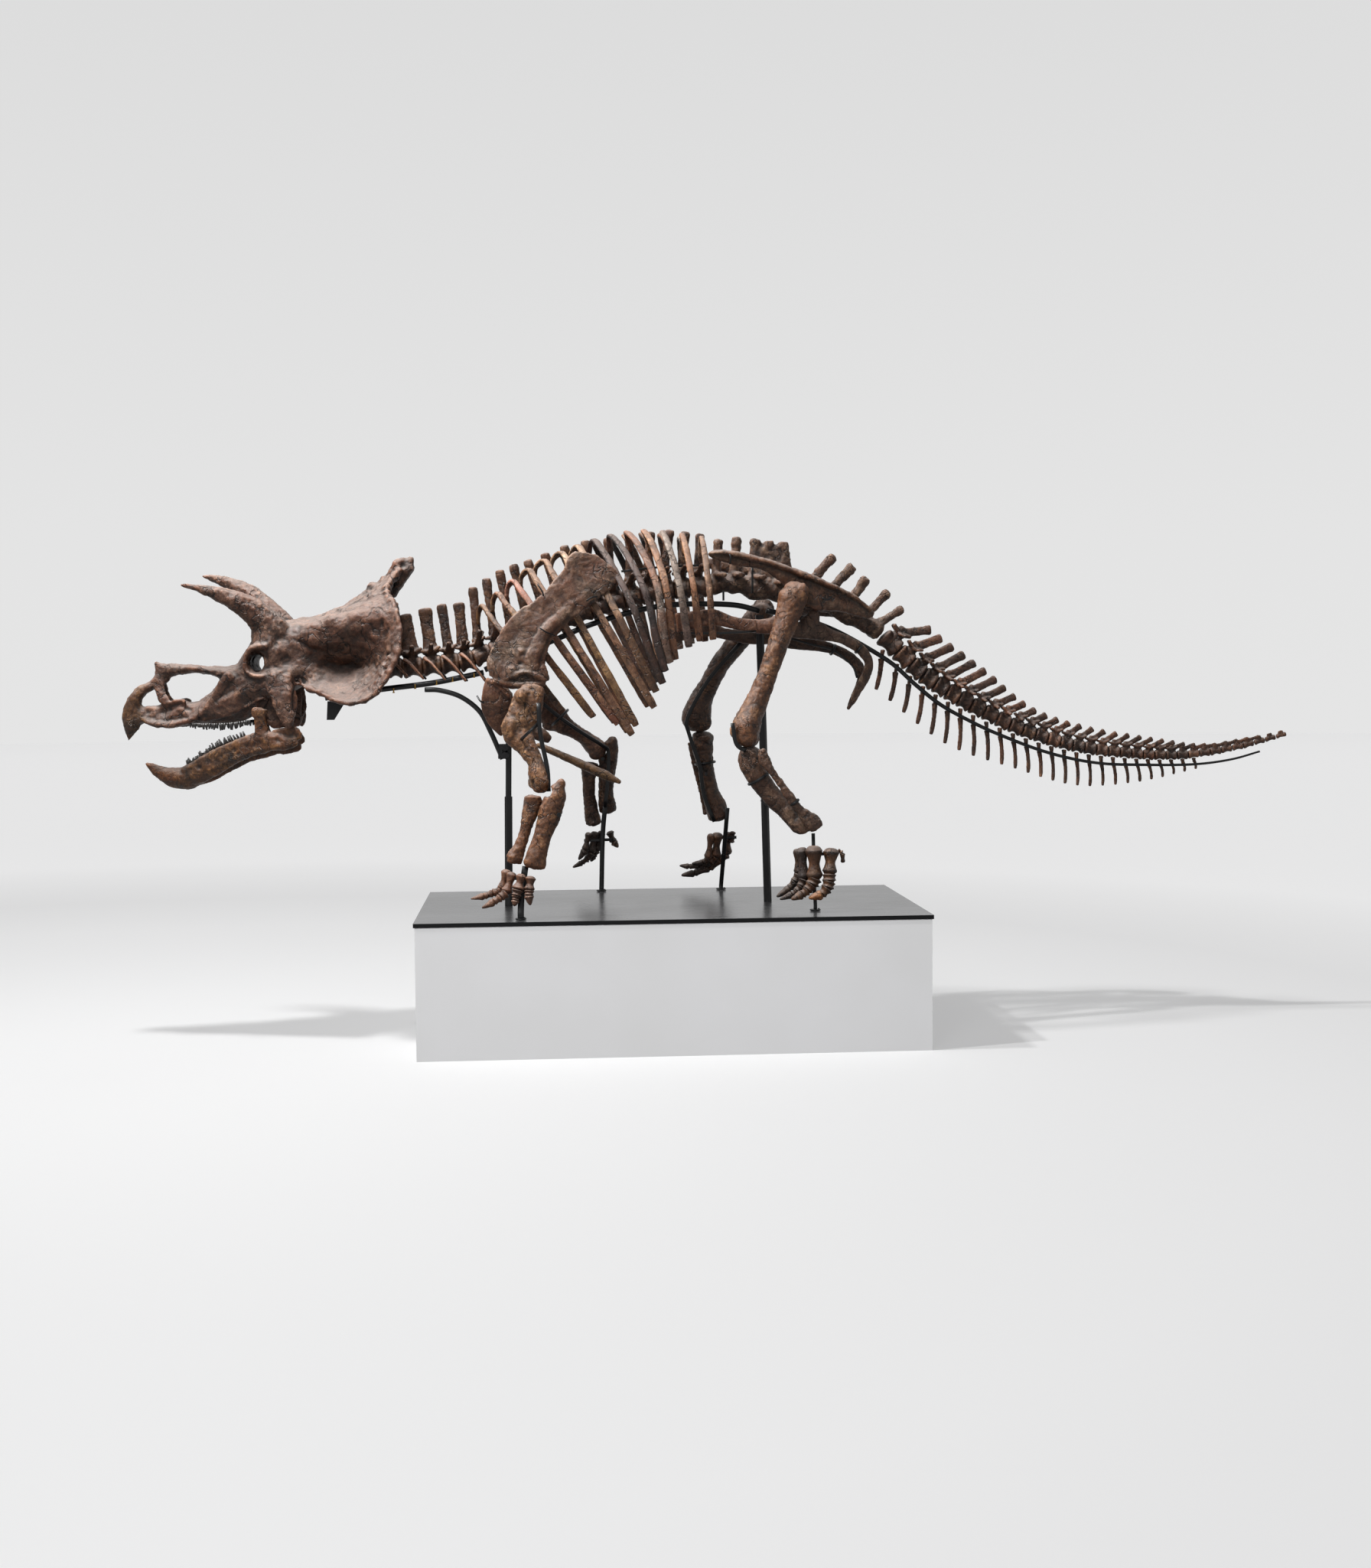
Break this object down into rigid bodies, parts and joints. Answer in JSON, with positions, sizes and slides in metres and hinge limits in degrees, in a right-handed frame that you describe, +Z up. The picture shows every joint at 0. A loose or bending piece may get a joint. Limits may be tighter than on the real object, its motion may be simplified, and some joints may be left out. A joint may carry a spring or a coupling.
{
  "type": "mounted horned dinosaur skeleton",
  "caption": "Young triceratops skeleton, life size, standing on a black armature over a white display plinth with a dark plate.",
  "frame": {"origin": "centre of the plinth's underside, on the floor", "axes": "+Z up; the body lies along X with the beak towards -X; the animal's left side faces -Y"},
  "size_m": [4.4415, 0.996, 1.9094],
  "materials": {
    "skull_bone": "fossil bone, reddish grey brown, satin from consolidant",
    "limb_bone": "fossil bone, warm brown with dark cracks, low sheen",
    "spine_bone": "fossil bone, dark brown, rough and low sheen",
    "armature_black": "satin black paint on steel bar",
    "plinth_white": "smooth matt white paint on board",
    "plate_dark_steel": "dark satin steel with a faint brushed grain"
  },
  "bodies": {
    "root": {"skull": "skull_bone", "lower_jaw": "skull_bone", "neck": "spine_bone", "sacrum": "spine_bone", "tail_base": "spine_bone", "tail_middle": "spine_bone", "tail_end": "spine_bone", "brow_horn_left": "skull_bone", "brow_horn_right": "skull_bone", "ribcage_left": "limb_bone", "ribcage_right": "limb_bone", "scapula_left": "limb_bone", "scapula_right": "limb_bone", "coracoid_left": "limb_bone", "coracoid_right": "limb_bone", "sternum_left": "limb_bone", "sternum_right": "limb_bone", "ilium_left": "limb_bone", "ilium_right": "limb_bone", "pubis_left": "limb_bone", "pubis_right": "limb_bone", "ischium_left": "limb_bone", "ischium_right": "limb_bone", "humerus_left": "limb_bone", "humerus_right": "limb_bone", "radius_left": "limb_bone", "radius_right": "limb_bone", "ulna_left": "limb_bone", "ulna_right": "limb_bone", "femur_left": "limb_bone", "femur_right": "limb_bone", "tibia_left": "limb_bone", "tibia_right": "limb_bone", "fibula_left": "limb_bone", "fibula_right": "limb_bone", "forefoot_left": "limb_bone", "forefoot_right": "limb_bone", "hindfoot_left": "limb_bone", "hindfoot_right": "limb_bone", "stand_plinth": "plinth_white", "stand_plate": "plate_dark_steel", "stand_post_front": "armature_black", "stand_post_rear": "armature_black", "stand_rail_neck": "armature_black", "stand_rail_back": "armature_black", "stand_rail_tail": "armature_black", "stand_neck_strut": "armature_black", "stand_skull_bracket": "armature_black", "stand_rod_fore_left": "armature_black", "stand_rod_fore_right": "armature_black", "stand_rod_hind_left": "armature_black", "stand_rod_hind_right": "armature_black"}
  },
  "joints": []
}
